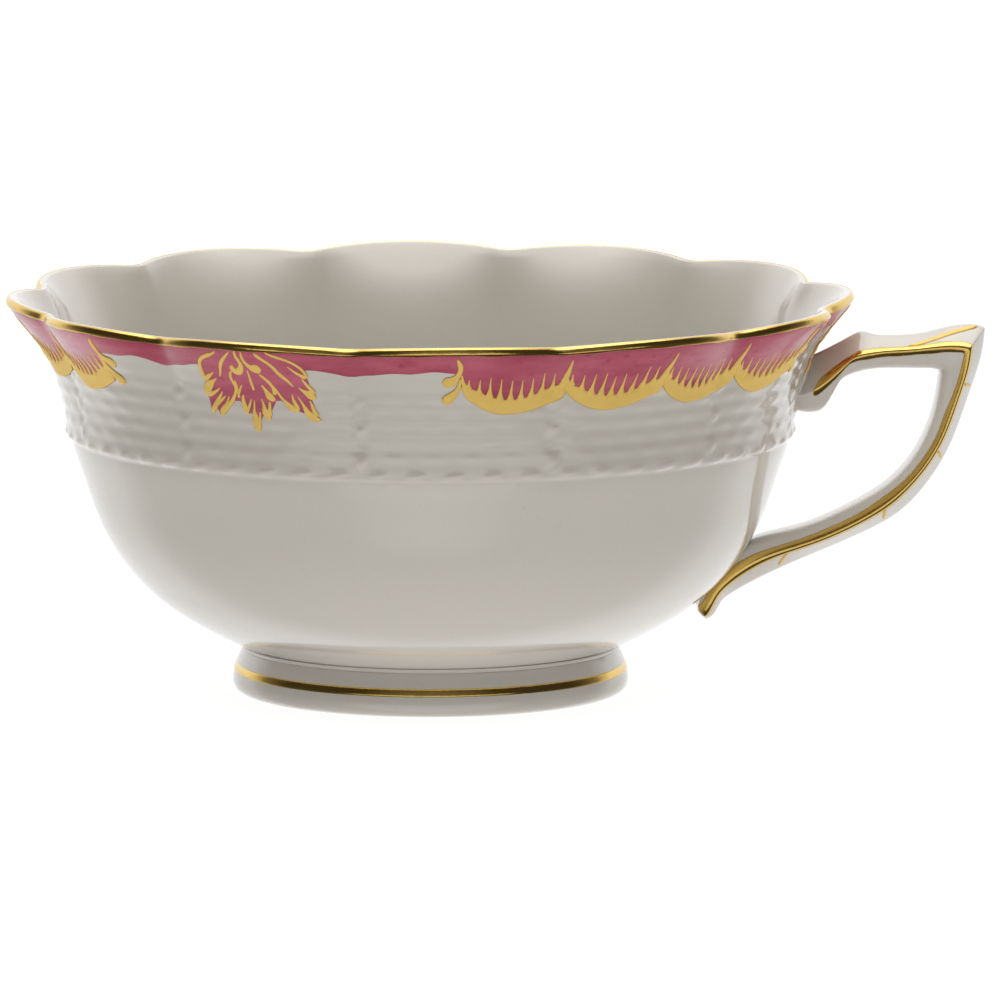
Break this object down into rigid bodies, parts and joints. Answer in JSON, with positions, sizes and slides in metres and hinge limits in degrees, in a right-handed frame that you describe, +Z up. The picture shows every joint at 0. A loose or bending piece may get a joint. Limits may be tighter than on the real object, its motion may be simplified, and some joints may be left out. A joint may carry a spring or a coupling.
{
  "type": "teacup",
  "caption": "Wide porcelain teacup with a flared lobed rim, raised basket-weave band, foot ring, angular strap handle, raspberry enamel border and gilt scallops.",
  "frame": {"origin": "on the cup's axis, in the plane that the foot ring stands on", "axes": "+Z up along the cup's axis, +X from the axis towards the handle, +Y to the left of the handle seen from outside"},
  "size_m": [0.1248, 0.1078, 0.0508],
  "materials": {
    "porcelain": "clear gloss glaze on white porcelain",
    "slip": "fired slip under the same glaze",
    "burnished_gold": "burnished gilding",
    "matte_gold": "satin raised gilding",
    "raspberry_enamel": "hand-laid translucent overglaze enamel"
  },
  "bodies": {
    "root": {"cup_bowl": "porcelain", "foot_ring": "porcelain", "foot_slip": "slip", "handle": "porcelain", "upper_handle_slip": "slip", "lower_handle_slip": "slip", "rim_gilding": "burnished_gold", "foot_gilding": "burnished_gold", "rim_enamel": "raspberry_enamel", "leaf_enamel": "raspberry_enamel", "leaf_gilding": "matte_gold", "scallop_gilding": "matte_gold", "flourish_gilding": "matte_gold", "handle_gilding_near": "burnished_gold", "handle_gilding_far": "burnished_gold", "handle_gilding_dashes": "matte_gold"}
  },
  "joints": []
}
